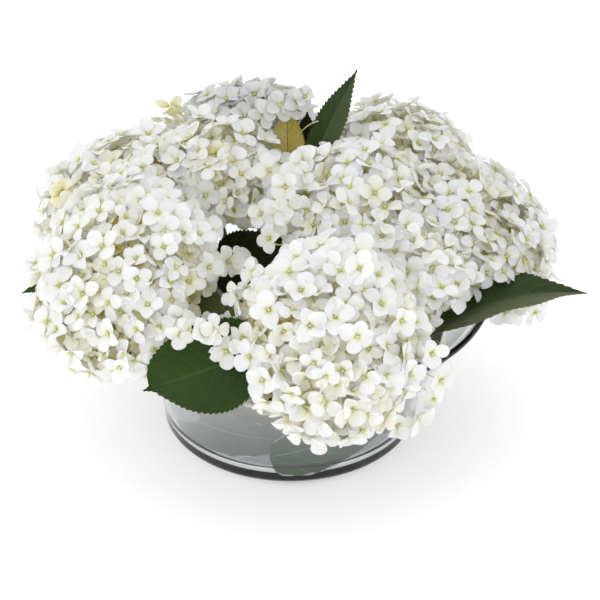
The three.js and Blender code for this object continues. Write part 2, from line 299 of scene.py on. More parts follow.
def veinMask(tree, gap, across, side, middle):
    # the side veins and the midrib as lines on the blade. side and middle are each a sharpness and a strength.
    lines = []
    for distance, (sharpness, strength) in ((gap, side), (across, middle)):
        line = addNode(tree, "Math", {0: distance, 1: sharpness}, operation="MULTIPLY")
        line = addNode(tree, "Math", {0: 1.0, 1: line}, operation="SUBTRACT", use_clamp=True)
        lines.append(addNode(tree, "Math", {0: line, 1: strength}, operation="MULTIPLY"))
    return addNode(tree, "Math", {0: lines[0], 1: lines[1]}, operation="MAXIMUM")


# Hydrangea leaf: a satin, netted blade, deep green above, with paler veins and patches of about 36 mm. The
# net is drawn at 2.2 mm, coarser than it grows, so that it shows. Its attribute for paleness is high on an
# underside, which is paler, and where the blade is turned to the light, where the paler grey-green is painted
# sheen.
def leafMaterial(name, blade, vein, bloom, specular):
    material, tree, surface = newMaterial(name)
    gap, across = veinDistance(tree)
    lines = veinMask(tree, gap, across, (11.0, 0.45), (22.0, 0.9))
    pale = addNode(tree, "Attribute", output="Fac", attribute_name="pale")
    ground = patchyColour(tree, 35.71, 4.0, blade)
    ground = addNode(tree, "Mix", {0: pale, 6: ground, 7: linear(bloom)}, 2, data_type="RGBA")
    colour = addNode(tree, "Mix", {0: lines, 6: ground, 7: linear(vein)}, 2, data_type="RGBA")
    place = addNode(tree, "TexCoord", output="Object")
    net = addNode(tree, "TexVoronoi", {"Vector": place, "Scale": 1 / (2.2 * mm)}, "Distance",
                  feature="DISTANCE_TO_EDGE")
    net = addNode(tree, "Math", {0: net, 1: 0.5}, operation="MULTIPLY")
    swell = addNode(tree, "Math", {0: gap, 1: 0.5}, operation="MULTIPLY")
    raised = addNode(tree, "Math", {0: net, 1: swell}, operation="ADD")
    bump = addNode(tree, "Bump", {"Height": raised, "Strength": 0.35, "Distance": 0.4 * mm})
    setInputs(surface, {
        "Base Color": colour, "Normal": bump, "Roughness": 0.5, "Specular IOR Level": specular,
        "Subsurface Weight": 0.06, "Subsurface Scale": 1.0 * mm,
    })
    return material


# Liner leaf: the same blade pressed flat and seen through thick glass, which greys it; that grey is painted
# into its colour as the glass's reflection. Its attribute for paleness is high on a leaf whose underside faces
# out, and its light grey is partly that painted reflection. A thin painted highlight runs along its margin,
# broken
# about every 14 mm: it shows in the outer 0.06 of the blade, where the noise is over 0.47.
def linerMaterial():
    material, tree, surface = newMaterial("linerLeaf")
    gap, across = veinDistance(tree)
    lines = veinMask(tree, gap, across, (16.0, 0.3), (40.0, 0.6))
    pale = addNode(tree, "Attribute", output="Fac", attribute_name="pale")
    dark = patchyColour(tree, 45.45, 3.0, [(0.3, "#5f6d5c"), (0.7, "#75816f")])
    light = patchyColour(tree, 45.45, 3.0, [(0.3, "#c3c7cb"), (0.7, "#d6d8dd")])
    ground = addNode(tree, "Mix", {0: pale, 6: dark, 7: light}, 2, data_type="RGBA")
    place = addNode(tree, "TexCoord", output="Object")
    broken = addNode(tree, "TexNoise", {"Vector": place, "Scale": 1 / (14.29 * mm)}, "Fac")
    shown = []
    for value, start, sharpness in ((across, 0.94, 60.0), (broken, 0.47, 20.0)):
        past = addNode(tree, "Math", {0: value, 1: start}, operation="SUBTRACT")
        shown.append(addNode(tree, "Math", {0: past, 1: sharpness}, operation="MULTIPLY", use_clamp=True))
    marginHighlight = addNode(tree, "Math", {0: shown[0], 1: shown[1]}, operation="MULTIPLY")
    # the paler veins together with the painted highlight along the margin
    veinsAndHighlight = addNode(tree, "Math", {0: lines, 1: marginHighlight}, operation="MAXIMUM")
    colour = addNode(tree, "Mix", {0: veinsAndHighlight, 6: ground, 7: linear("#eef0ec")}, 2, data_type="RGBA")
    setInputs(surface, {"Base Color": colour, "Roughness": 0.5, "Specular IOR Level": 0.25})
    return material


# Soda-lime glass, blown and fire-polished: clear through the wall and the foot, and drawn near-black round
# the rim, where one looks along it and which its attribute marks: a painted dark reflection for thick glass seen
# edge-on.
def glassMaterial():
    material, tree, surface = newMaterial("sodaLimeGlass")
    rimShade = addNode(tree, "Attribute", output="Fac", attribute_name="rimShade")
    colour = addNode(tree, "ValToRGB", {"Fac": rimShade}, stops=[
        (0.0, "#eef1f1"), (0.15, "#eef1f1"), (0.6, "#2a2d2d"), (1.0, "#1c1f1f")])
    setInputs(surface, {"Base Color": colour, "Transmission Weight": 1.0, "Roughness": 0.0, "IOR": 1.5})
    return material


# Cast resin with a still top, drawn pale and mostly unclear: its whitish body is painted light for the bright
# floor seen through the glass foot. It drifts in faint clouds of about 110 mm.
def resinMaterial():
    material, tree, surface = newMaterial("paleCastResin")
    colour = patchyColour(tree, 111.1, 2.0, [(0.3, "#eaebef"), (0.7, "#f6f6f9")])
    setInputs(surface, {"Base Color": colour, "Transmission Weight": 0.3, "Roughness": 0.05, "IOR": 1.45})
    return material


petalSkin = petalMaterial()
eyeSkin = eyeMaterial()
heartSkin = heartMaterial()
pedicelSkin = stalkMaterial("floretStalk", [(0.3, "#c3cc7c"), (0.7, "#dfe3ad")])
branchSkin = stalkMaterial("headBranch", [(0.3, "#8f9c4c"), (0.7, "#b4bd70")])
stemSkin = stalkMaterial("greenStem", [(0.3, "#56702f"), (0.7, "#7d8f45")])
leafSkin = leafMaterial("hydrangeaLeaf", [(0.3, "#22390d"), (0.7, "#2c4516")], "#3c5822", "#6a6f58", 0.1)
duskyLeafSkin = leafMaterial("duskyLeaf", [(0.3, "#2e3d1e"), (0.7, "#3c4c2a")], "#5c664a", "#646b50", 0.1)
oliveLeafSkin = leafMaterial("oliveLeaf", [(0.3, "#495127"), (0.7, "#5b6334")], "#787e50", "#838964", 0.1)
# near-black blade for the centre and shaded leaves: painted shade for leaves that sit in deep shade
paintedShadeLeafSkin = leafMaterial("paintedShadeLeaf", [(0.3, "#1f230f"), (0.7, "#2b2f19")], "#3a3f24", "#4a4a38", 0.05)
youngLeafSkin = leafMaterial("youngLeaf", [(0.3, "#a3963f"), (0.7, "#b8aa55")], "#4a3f1a", "#cdc588", 0.15)
linerSkin = linerMaterial()
glassSkin = glassMaterial()
resinSkin = resinMaterial()
print("materials made")


# Bowl and fill

bowl = {
    "footRadius": 93, "waistRadius": 113.6, "waistHeight": 12, "rimRadius": 174, "height": 137,
    "flarePower": 1.7, "wall": 5, "floor": 9, "sides": 160,
}


def outerRadius(z):
    # a quarter ellipse at the foot, then a wall that flares
    below = 1 - np.clip(z, 0, bowl["waistHeight"]) / bowl["waistHeight"]
    foot = bowl["footRadius"] + (bowl["waistRadius"] - bowl["footRadius"]) * np.sqrt(1 - below ** 2)
    share = np.clip((z - bowl["waistHeight"]) / (bowl["height"] - bowl["waistHeight"]), 0, None)
    wall = bowl["waistRadius"] + (bowl["rimRadius"] - bowl["waistRadius"]) * share ** bowl["flarePower"]
    return np.where(z < bowl["waistHeight"], foot, wall)


def wallPoint(z, depth):
    # radius and height of the point that lies depth inside the outer face, square to it at height z
    step = 0.01
    slope = np.stack([outerRadius(z + step) - outerRadius(z - step), np.full_like(z, 2 * step)])
    slope = slope / np.hypot(*slope)
    return outerRadius(z) - depth * slope[1], z + depth * slope[0]


def lathed(name, profile, material, sides, rimShade=None):
    # a profile of (radius, height) from axis to axis, turned round Z
    r, z = profile[1:-1].T * mm
    values = {} if rimShade is None else {"rimShade": np.concatenate([np.repeat(rimShade[1:-1], sides), rimShade[[0, -1]]])}
    angle = 2 * np.pi * np.arange(sides) / sides
    height = np.broadcast_to(z[:, None], (len(z), sides))
    rings = np.stack([r[:, None] * np.cos(angle), r[:, None] * np.sin(angle), height], axis=-1)
    ends = np.array([[0, 0, profile[0, 1]], [0, 0, profile[-1, 1]]]) * mm
    faces = fanFaces(len(z), sides)
    points = np.concatenate([rings.reshape(-1, 3), ends])
    return addMesh(name, points, [f[:, ::-1] for f in faces], material, **values)


def bowlProfile():
    # up the outside from the middle of the foot, over the lip and down the inside, and how much painted dark each
    # point takes
    foot = bowl["waistHeight"] * (1 - np.cos(np.linspace(0, np.pi / 2, 14)))
    outside = np.concatenate([foot, np.linspace(bowl["waistHeight"] + 2, bowl["height"] - 4, 28)])
    lip = np.array(wallPoint(np.array([bowl["height"] - 1.0]), bowl["wall"] / 2)).ravel()
    turn = np.linspace(-0.6, np.pi - 0.55, 14)
    inside = np.linspace(bowl["height"] - 8, 22, 24)
    edge, level = bowl["footRadius"], bowl["floor"]
    parts = [
        np.array([[0, 1.2], [40, 1.0], [80, 0.3]]),
        np.stack([outerRadius(outside), outside], axis=1),
        lip + bowl["wall"] / 2 * np.stack([np.cos(turn), np.sin(turn)], axis=1),
        np.stack(wallPoint(inside, bowl["wall"]), axis=1),
        np.array([[edge + 12, level + 5.5], [edge + 5, level + 1.5], [edge - 3, level]]),
        np.array([[60, level], [30, level], [0, level]]),
    ]
    rimShade = [np.full(len(p), float(i == 2)) for i, p in enumerate(parts)]
    return np.concatenate(parts), np.concatenate(rimShade)


profile, rimShade = bowlProfile()
glass = lathed("bowl_glass", profile, glassSkin, bowl["sides"], rimShade)
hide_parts("glass_bowl")
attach(glass, "root")

fill = {"top": 66, "sides": 120, "gap": 0.3}
liner = {
    "length": 150, "halfWidth": 37, "fullness": 0.45, "thickness": 0.7, "gap": 0.7,
    "shifts": (0, 0, 0, 0, 0, -0.18, 0.3, 0.1),
    "tilts": (0.16, -0.16, 0.16, -0.16, 0.16, 0.02, 0.36, -0.16),
    "heights": (60, 60, 60, 60, 60, 55, 60, 60),
    "pale": (0.3, 0.5, 0.15, 0.55, 0.9, 0.25, 0.0, 0.15),
}


def fillProfile():
    face = bowl["wall"] + 2 * (liner["thickness"] + liner["gap"]) + 0.6
    side = np.stack(wallPoint(np.linspace(22, fill["top"] - 2, 18), face), axis=1)
    edge = wallPoint(np.array([float(fill["top"])]), face + 1.5)[0][0]
    low = bowl["floor"] + fill["gap"]
    return np.concatenate([
        [[0, low], [50, low], [bowl["footRadius"] - 4, low], [bowl["footRadius"] + 6.5, bowl["floor"] + 5]],
        side,
        [[edge, fill["top"]], [edge / 2, fill["top"]], [0, fill["top"]]],
    ])


block = lathed("set_fill", fillProfile(), resinSkin, fill["sides"])
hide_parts("resin_fill")
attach(block, "root")
print("bowl and fill made")


# Leaves

blade = {
    "columns": 14, "teeth": 25, "tooth": 1.7, "quilt": 0.9, "thickness": 0.7, "narrowest": 0.5,
    "fold": 0.16, "blunt": (1, 1), "point": 0,
}


def leafOutline(t, point=0.0):
    # the half-width along the midrib as a share of the widest: round at the base, drawn out at the tip.
    # A blade with a point is complete short of the tip, and only a narrow tongue goes on.
    t = np.clip(t / (1 - point), 0, 1)
    return np.sin(np.pi * t ** 0.8).clip(0) ** 0.85 * (1 - 0.25 * t ** 3)


def leafGrid():
    # rows along the midrib, four to a tooth, and shares across from -1 to 1
    tooth = (np.arange(blade["teeth"])[:, None] + [0.0, 0.35, 0.7, 0.94]).ravel() / blade["teeth"]
    return np.append(tooth, 1.0), np.linspace(-1, 1, blade["columns"] + 1)


def serration(t):
    # teeth that lean to the tip: each rises slowly and drops at its end
    share = (t * blade["teeth"]) % 1.0
    fade = np.clip(np.minimum(t, 1 - t) * 9, 0, 1)
    return blade["tooth"] * fade * np.where(t < 1, share, 0)


def quilting(s, t):
    # the blade swells between its side veins, most half way out
    phase = (t - veins["bend"] * np.abs(s) ** veins["curve"]) * veins["gaps"]
    return blade["quilt"] * np.abs(np.sin(np.pi * phase)) * np.sin(np.pi * np.abs(s) ** 0.7)


def closedSheet(middle, thickness):
    # a grid (rows, columns, xyz) given thickness along its own normals, as rings across and back
    along = np.gradient(middle, axis=0)
    across = np.gradient(middle, axis=1)
    normal = unit(np.cross(along, across))
    upper = middle + normal * thickness / 2
    lower = middle - normal * thickness / 2
    upper[:, [0, -1]] = middle[:, [0, -1]]
    return np.concatenate([upper, lower[:, -2:0:-1]], axis=1)


def addLeaf(name, middle, s, t, material, pale):
    # the paleness of each half, from its underside and from painted sheen: the one where s is negative, then the
    # one where it is positive
    points = closedSheet(middle, blade["thickness"] * mm)
    around = np.concatenate([s, s[-2:0:-1]])
    uv = np.stack(np.meshgrid((around + 1) / 2, t), axis=-1)
    rim = np.broadcast_to(np.abs(around) == 1, points.shape[:2])
    tone = np.broadcast_to(np.interp(around, [-0.06, 0.06], pale), points.shape[:2])
    return addMesh(name, points, lensFaces(len(t), len(s) - 1), material, rim=rim, uv=uv, pale=tone)


def linerLeaf(index):
    # a leaf on its side against the inside of the wall, every second one a layer further in
    layer = index % 2
    t, s = leafGrid()
    t, s = t[:, None], s[None, :]
    depth = bowl["wall"] + liner["gap"] + layer * (liner["thickness"] + liner["gap"]) + liner["thickness"] / 2
    x = (t - 0.5) * liner["length"]
    half = liner["halfWidth"] * leafOutline(t) ** liner["fullness"] - 1 + serration(t) * 0.5
    z = liner["heights"][index] + s * half.clip(blade["narrowest"]) + x * liner["tilts"][index]
    radius, height = wallPoint(z, depth)
    shift = liner["shifts"][index]
    angle = 2 * np.pi * (index + 0.35 + shift) / len(liner["tilts"]) + x / bowl["waistRadius"]
    middle = np.stack([radius * np.cos(angle), radius * np.sin(angle), height], axis=-1) * mm
    pale = (liner["pale"][index],) * 2
    return addLeaf(f"liner_blade_{index + 1}", middle, s.ravel(), t.ravel(), linerSkin, pale)


for index in range(len(liner["tilts"])):
    piece = linerLeaf(index)
    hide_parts(f"liner_leaf_{index + 1}")
    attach(piece, "root")

# Loose leaves. root is the angle and radius of the stalk's foot, base and tip are the midrib's ends, up
# is the way that the upper face looks, wave is how far the margin rises and falls, and the pale values how
# pale each half is, from an underside and from painted sheen where it is turned to the light. Where a leaf
# differs from blade, fold is how steeply its halves rise from the midrib, blunt how blunt each half is (below 1
# it stays wide up to its ends), and point the share of the length that a narrow tongue at the tip takes up.
leaves = {
    "front_left": {"root": (236, 74), "base": (-16, -156, 174), "tip": (-116, -146, 126),
                   "up": (-0.1, -0.86, 0.5), "halfWidth": 37, "arch": 13, "wave": 1.5, "pale": (0.05, 0.0),
                   "blunt": (0.9, 0.42), "point": 0.07},
    "left_gap": {"root": (214, 62), "base": (-40, -88, 146), "tip": (-98, -96, 160), "up": (0, -0.45, 0.9),
                 "halfWidth": 26, "arch": 6, "wave": 1.0, "pale": (0.3, 0.15)},
    "right": {"root": (316, 76), "base": (114, -86, 140), "tip": (246, -60, 163), "up": (-0.1, -0.06, 1),
              "halfWidth": 29, "arch": 14, "wave": 1.5, "pale": (0.05, 0.9), "fold": 0.36},
    "top": {"root": (88, 18), "base": (17, 58, 214), "tip": (57, 70, 305), "up": (-0.5, -0.82, 0.2),
            "halfWidth": 15, "arch": 3, "wave": 1.0, "pale": (0.0, 0.35)},
    "left": {"root": (176, 60), "base": (-118, -8, 140), "tip": (-229, -20, 138), "up": (-0.1, 0, 1),
             "halfWidth": 34, "arch": 12, "wave": 1.5, "pale": (0.1, 0.0)},
    "centre": {"root": (200, 22), "base": (-66, -2, 140), "tip": (10, -20, 188), "up": (0, -0.8, 0.55),
               "halfWidth": 32, "arch": 5, "wave": 1.0, "pale": (0.0, 0.0)},
    "yellow": {"root": (80, 52), "base": (-2, 55, 217), "tip": (-3, 88, 259), "up": (0.1, -0.8, 0.55),
               "halfWidth": 15, "arch": 3, "wave": 0.5, "pale": (0.4, 0.0), "blunt": (0.8, 0.8)},
    "shaded": {"root": (62, 22), "base": (12, 82, 202), "tip": (15, 90, 256), "up": (0, -0.95, 0.2),
               "halfWidth": 15, "arch": 3, "wave": 0.5, "pale": (0.0, 0.0)},
    "back_left": {"root": (128, 72), "base": (-72, 112, 150), "tip": (-112, 196, 130), "up": (-0.2, 0.4, 0.9),
                  "halfWidth": 34, "arch": 16, "wave": 2.0, "pale": (0.1, 0.0)},
    "back_right": {"root": (58, 72), "base": (52, 122, 150), "tip": (58, 212, 122), "up": (0.1, 0.4, 0.9),
                   "halfWidth": 34, "arch": 16, "wave": 2.0, "pale": (0.0, 0.1)},
}
leafSkins = {"yellow": youngLeafSkin, "shaded": paintedShadeLeafSkin, "centre": paintedShadeLeafSkin,
             "left_gap": oliveLeafSkin, "right": duskyLeafSkin, "top": duskyLeafSkin}
petiole = {"radius": 1.5, "footHeight": 26, "approach": 30, "overlap": 0.07, "around": 10, "steps": 26}


def leafAxes(leaf):
    along = unit(np.subtract(leaf["tip"], leaf["base"]).astype(float))
    across = unit(np.cross(along, leaf["up"]))
    return across, np.cross(across, along)


def midrib(leaf, t):
    # a low arch from base to tip, highest half way
    t = np.asarray(t, float)[..., None]
    straight = (1 - t) * leaf["base"] + t * np.array(leaf["tip"], float)
    return straight + leafAxes(leaf)[1] * leaf["arch"] * 4 * t * (1 - t)


def looseBlade(name, leaf):
    # out from the midrib the blade rises by its fold, swells between veins and waves at the margin
    t, s = leafGrid()
    across, up = leafAxes(leaf)
    t2, s2 = t[:, None], s[None, :]
    outline = leafOutline(t2, leaf["point"]) ** np.where(s2 < 0, *leaf["blunt"])
    tongue = 30 * (1 - t2) * (leaf["point"] > 0)
    narrowest = np.clip(tongue, blade["narrowest"], 3)
    out = s2 * (np.maximum(leaf["halfWidth"] * outline - 1, narrowest) + serration(t2))
    wave = leaf["wave"] * np.sin(2 * np.pi * (2.3 * t2 + 0.25 * np.sign(s2))) * s2 ** 2
    height = leaf["fold"] * np.abs(out) + quilting(s2, t2) + wave * np.sin(np.pi * t2)
    middle = midrib(leaf, t)[:, None] + across * out[..., None] + up * height[..., None]
    return addLeaf(f"{name}_blade", middle * mm, s, t, leafSkins.get(name, leafSkin), leaf["pale"])


def stalkPath(leaf):
    degrees, ring = leaf["root"]
    angle = math.radians(degrees)
    foot = np.array([ring * math.cos(angle), ring * math.sin(angle), petiole["footHeight"]])
    end = midrib(leaf, petiole["overlap"])
    way = unit(end - midrib(leaf, 0))
    risen = foot + [0, 0, (end[2] - foot[2]) * 0.5]
    t = np.linspace(0, 1, petiole["steps"])
    return bezier(foot, risen, end - way * petiole["approach"], end, t)


for name, leaf in leaves.items():
    leaf = {**blade, **leaf}
    piece = looseBlade(name, leaf)
    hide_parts(f"{name}_leaf")
    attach(piece, "root")
    radii = petiole["radius"] * mm * np.linspace(1.1, 0.9, petiole["steps"])
    stalk = addTubes(f"{name}_stalk", stalkPath(leaf)[None] * mm, radii, petiole["around"], stemSkin)
    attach(stalk, "root")
print("leaves made")


# Heads. centre is the middle of the widest circle, radius its radius, facing the way that the crown points,
# and under the depth behind that circle. bloom sizes and spaces its florets, and the grey value is how grey its
# petals are drawn: painted shade for a head that sits further from the light.
heads = {
    "front": {"centre": (31, -144, 172), "facing": (0.06, -0.74, 0.66),
        "grey": 0.0, "radius": 80, "under": 34, "bloom": 1.02},
    "left_front": {"centre": (-134, -66, 176), "facing": (-0.4, -0.55, 0.7),
        "grey": 0.0, "radius": 86, "under": 36, "bloom": 1.0},
    "centre": {"centre": (59, -8, 208), "facing": (0.12, -0.25, 0.95),
        "grey": 0.08, "radius": 76, "under": 38, "bloom": 1.0},
    "right": {"centre": (155, 4, 180), "facing": (0.5, -0.2, 0.84),
        "grey": 0.15, "radius": 80, "under": 36, "bloom": 1.0},
    "left_back": {"centre": (-142, 44, 185), "facing": (-0.36, 0.0, 0.93),
        "grey": 0.0, "radius": 82, "under": 38, "bloom": 1.0},
    "middle": {"centre": (-66, 56, 206), "facing": (-0.05, -0.2, 0.95),
        "grey": 0.05, "radius": 68, "under": 34, "bloom": 1.0},
    "right_front": {"centre": (105, -60, 181), "facing": (0.25, -0.6, 0.75),
        "grey": 0.0, "radius": 52, "under": 26, "bloom": 1.0},
    "right_back": {"centre": (98, 104, 202), "facing": (0.34, 0.42, 0.84),
        "grey": 0.04, "radius": 66, "under": 34, "bloom": 1.0},
    "back": {"centre": (-39, 126, 209), "facing": (-0.1, 0.3, 0.94),
        "grey": 0.52, "radius": 70, "under": 36, "bloom": 0.94},
}
stem = {
    "radius": 2.7, "footHeight": 13, "footRing": 36, "innerRing": 6, "rise": 60, "approach": 34, "hub": 0.75,
    "around": 12, "steps": 40,
}
ray = {"count": 5, "radius": 1.4, "spread": 0.95, "reach": 0.52, "bow": 3, "around": 8, "steps": 8}


def headAngle(head):
    return math.atan2(head["centre"][1], head["centre"][0])


def facingOf(head):
    return unit(np.array(head["facing"], float))


def hubOf(head):
    # where the stem ends and its branches start
    return head["centre"] - facingOf(head) * head["under"] * stem["hub"]


def stemPath(name, head):
    ring = stem["innerRing"] if name == "centre" else stem["footRing"]
    angle = headAngle(head)
    foot = np.array([ring * math.cos(angle), ring * math.sin(angle), stem["footHeight"]])
    hub = hubOf(head)
    below = hub - facingOf(head) * stem["approach"]
    return bezier(foot, foot + [0, 0, stem["rise"]], below, hub, np.linspace(0, 1, stem["steps"]))


def rayPaths(head):
    # short branches from the hub, bowed a little, spread evenly round the way that the head faces
    facing = facingOf(head)
    spin = 2 * np.pi * np.arange(ray["count"]) / ray["count"] + headAngle(head)
    basis = frameAbout(np.broadcast_to(facing, (ray["count"], 3)), spin)
    way = basis[..., 0] * math.sin(ray["spread"]) + facing * math.cos(ray["spread"])
    hub = hubOf(head)
    t = np.linspace(0, 1, ray["steps"])[None, :, None]
    bow = facing * ray["bow"] * np.sin(np.pi * t)
    return hub - facing * stem["radius"] * (1 - t) + way[:, None] * head["radius"] * ray["reach"] * t + bow


for name, head in heads.items():
    radii = stem["radius"] * mm * np.linspace(1.05, 0.9, stem["steps"])
    piece = addTubes(f"{name}_main_stem", stemPath(name, head)[None] * mm, radii, stem["around"], stemSkin)
    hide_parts(f"{name}_stem")
    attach(piece, "root")
    branches = addTubes(f"{name}_branches", rayPaths(head) * mm, ray["radius"] * mm, ray["around"], branchSkin)
    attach(branches, "root")
print("stems made")


# Florets

floret = {
    "petals": 4, "length": 13.8, "width": 13.2, "thickness": 0.3, "foot": 0.8, "eye": 1.35, "stalk": 0.5,
    "rows": (0, 0.25, 0.5, 0.75, 0.92, 1), "columns": 4, "innerRows": (0, 0.4, 0.8, 1), "innerColumns": 2,
    "spacing": 13.0, "depth": 6.5, "creamOver": 16, "unevenness": 3.5, "tilt": 0.45, "nod": 0.4, "room": 5,
    "innerSpacing": 11.5, "innerDepths": (11, 24), "candidates": 5000, "behind": -0.75, "deepest": 14,
    "strayLean": (0, -0.9, 0.45), "strayTilt": 0.3, "strayYouthAndShade": 0.1, "stalkSteps": 6, "sizes": (0.82, 1.12),
}
# How petals differ: shares of the length and width above, angles in radians, and how far a floret stands open.
varied = {
    "length": (0.88, 1.1), "width": (0.85, 1.12), "bend": (-0.7, 0.3), "cup": (0.0, 0.6), "lift": (-0.2, 0.25),
    "raised": (-0.2, 0.1, 0.95), "turn": 0.12,
}
heart = {"rings": 22, "around": 34, "depth": 20, "depths": (0.85, 1.25), "least": 0.45, "pole": 0.12}

# Florets that stand out from their head on longer stalks, at its edges and in the gaps between heads.
strays = {
    "front": [(-42, -122, 200), (-28, -112, 216), (-44, -150, 186), (-48, -162, 175), (-35, -158, 184),
              (-39, -164, 157), (-51, -156, 178), (111, -155, 168), (119, -156, 143), (115, -158, 127),
              (102, -163, 113), (86, -163, 105), (9, -176, 106), (26, -177, 102)],
    "left_front": [(-47, -52, 207), (-40, -60, 194), (-50, -75, 203), (-84, -152, 184), (-76, -152, 188),
                   (-66, -161, 192), (-56, -163, 196), (-80, -155, 177), (-122, -112, 118)],
    "centre": [(-3, -30, 247), (-23, -40, 227), (-10, -48, 229), (0, -46, 234), (-16, -60, 216)],
    "right": [(210, -24, 121)],
    "middle": [(-17, 0, 246)],
    "back": [(6, 74, 273), (17, 76, 270), (13, 74, 278), (-17, 72, 268), (-8, 72, 271), (3, 74, 267),
             (-23, 74, 262)],
}

# Balls, as a middle and a radius, that no floret of any head stands in.
clearings = [
    ((-222, -24, 140), 20), ((-225, -42, 151), 18), ((122, -88, 152), 13), ((-60, -102, 178), 14),
    ((-78, -120, 183), 11), ((-216, -70, 176), 12), ((-218, -50, 162), 12), ((-64, -108, 196), 14),
    ((-71, -112, 182), 14), ((-53, -100, 190), 12), ((-52, -48, 212), 9), ((-34, -48, 194), 11),
    ((-31, -44, 208), 9), ((-3, -46, 205), 9),
    ((-8, -34, 201), 9), ((14, -40, 220), 7), ((-49, -60, 184), 8), ((10, 72, 250), 12), ((17, 74, 258), 11),
    ((9, 34, 245), 16), ((-1, 40, 236), 11), ((-190, -70, 88), 18), ((-166, -82, 90), 20),
    ((192, 0, 104), 16), ((190, -20, 112), 12), ((214, 4, 108), 12),
]


def trianglesOf(names):
    points, corners, count = [], [], 0
    for name in names:
        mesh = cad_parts[name].data
        mesh.calc_loop_triangles()
        co = np.empty(len(mesh.vertices) * 3)
        mesh.vertices.foreach_get("co", co)
        tri = np.empty(len(mesh.loop_triangles) * 3, np.int32)
        mesh.loop_triangles.foreach_get("vertices", tri)
        points.append(co.reshape(-1, 3))
        corners.append(tri.reshape(-1, 3) + count)
        count += len(points[-1])
    return np.concatenate(points), np.concatenate(corners)


wholePoints, wholeCorners = trianglesOf(sorted(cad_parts))
whole = BVHTree.FromPolygons(wholePoints.tolist(), wholeCorners.tolist())
barePoints, bareCorners = trianglesOf([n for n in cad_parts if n.endswith("_leaf") or n == "glass_bowl"])
bare = BVHTree.FromPolygons(barePoints.tolist(), bareCorners.tolist())


def openSpots(name, head):
    # random points of a head's CAD surface with room for a floret in front of them, and their normals
    points, corners = trianglesOf([f"{name}_head"])
    a, b, c = points[corners].transpose(1, 0, 2)
    cross = np.cross(b - a, c - a)
    area = np.linalg.norm(cross, axis=1)
    pick = chance.choice(len(area), floret["candidates"], p=area / area.sum())
    u, v = chance.random((2, len(pick), 1))
    u, v = np.where(u + v > 1, 1 - u, u), np.where(u + v > 1, 1 - v, v)
    spots = a[pick] + u * (b - a)[pick] + v * (c - a)[pick]
    normals = unit(cross)[pick]
    facing = facingOf(head)
    keep = []
    for spot, normal in zip(spots, normals):
        hit = whole.ray_cast(Vector(spot + normal * 0.6 * mm), Vector(normal), floret["room"] * mm)[0]
        keep.append(hit is None)
    keep = np.array(keep) & ((normals * facing).sum(1) > floret["behind"])
    return spots[keep], normals[keep]


def spread(spots, gap):
    # spots taken one by one, each the furthest from those before it, until the gap is reached
    nearest = np.linalg.norm(spots - spots[0], axis=1)
    taken = [0]
    while nearest.max() > gap * mm:
        taken.append(int(nearest.argmax()))
        nearest = np.minimum(nearest, np.linalg.norm(spots - spots[taken[-1]], axis=1))
    return np.array(taken)


def petalOutline(v):
    # the half-width along a petal as a share of the widest: a narrow claw, then nearly round
    return 0.14 + 0.86 * np.sin(np.pi * 0.94 * v ** 1.2).clip(0) ** 0.7


def petalPoints(rows, columns, length, width, bend, cup, lift, ruffle):
    # x along, y across, z up. The middle line is an arc that turns through bend, the two sides rise by
    # cup, the margin ripples by ruffle, and the whole is tipped up from its foot by lift.
    v = np.array(rows, float)[None, :, None]
    top = np.linspace(-1, 1, columns + 1)
    u = np.concatenate([top, top[-2:0:-1]])[None, None, :]
    face = np.concatenate([np.sign(1 - np.abs(top)), -np.ones(columns - 1)])[None, None, :]
    each = (length, width, bend, cup, lift, ruffle)
    length, width, bend, cup, lift, ruffle = (a[:, None, None] for a in each)
    bend = np.where(np.abs(bend) < 0.05, 0.05, bend)
    half = width / 2 * petalOutline(v)
    reach = v * (1 - 0.045 * u ** 2)
    x = length * np.sin(bend * reach) / bend
    z = length * (1 - np.cos(bend * reach)) / bend + cup * half * u ** 2 + 0.45 * np.sin(5 * v + ruffle) * u * v
    z = z + face * floret["thickness"] / 2
    y = half * u
    forward = x * np.cos(lift) - z * np.sin(lift) + floret["foot"]
    points = np.stack([forward, y, x * np.sin(lift) + z * np.cos(lift)], axis=-1)
    along, side, rim = (np.broadcast_to(a, points.shape[:3]) for a in (v, u, np.abs(u) == 1))
    return points, along, side, rim


def addFlorets(name, centres, axes, sizes, young, grey, rows, columns):
    # petals round each centre, square to its axis, all in one mesh. Some florets lie flat and some are cups.
    count, petals = len(centres), floret["petals"]
    n = count * petals
    raised = np.repeat(chance.triangular(*varied["raised"], count), petals)
    size = np.repeat(sizes, petals)
    points, along, side, rim = petalPoints(
        rows, columns,
        floret["length"] * size * chance.uniform(*varied["length"], n),
        floret["width"] * size * chance.uniform(*varied["width"], n),
        chance.uniform(*varied["bend"], n) - raised * 0.5,
        chance.uniform(*varied["cup"], n),
        raised + chance.uniform(*varied["lift"], n),
        chance.uniform(0, 6.28, n),
    )
    turn = np.tile(np.arange(petals) * 2 * np.pi / petals, count) + chance.normal(0, varied["turn"], n)
    turn = turn + np.repeat(chance.uniform(0, 6.28, count), petals)
    basis = frameAbout(np.repeat(axes, petals, axis=0), turn)
    points = np.einsum("nij,nrcj->nrci", basis, points * mm) + np.repeat(centres, petals, axis=0)[:, None, None]
    faces = repeated(lensFaces(len(rows), columns), n, points.shape[1] * points.shape[2])
    shade = np.broadcast_to(np.repeat(young, petals)[:, None, None], along.shape)
    shadeLevels = np.full(along.shape, grey)
    return addMesh(name, points, faces, petalSkin, rim=rim, along=along, side=side, young=shade, grey=shadeLevels)


def addEyes(name, centres, axes):
    # small round buds, each a ball just above its floret's middle
    rings, around = 4, 6
    ball = ballRings(rings, around, 0.35) * floret["eye"] + [0, 0, 0.9]
    basis = frameAbout(axes, np.zeros(len(axes)))
    points = np.einsum("nij,pj->npi", basis, ball * mm) + centres[:, None]
    return addMesh(f"{name}_eyes", points, repeated(fanFaces(rings, around), len(axes), len(ball)), eyeSkin)


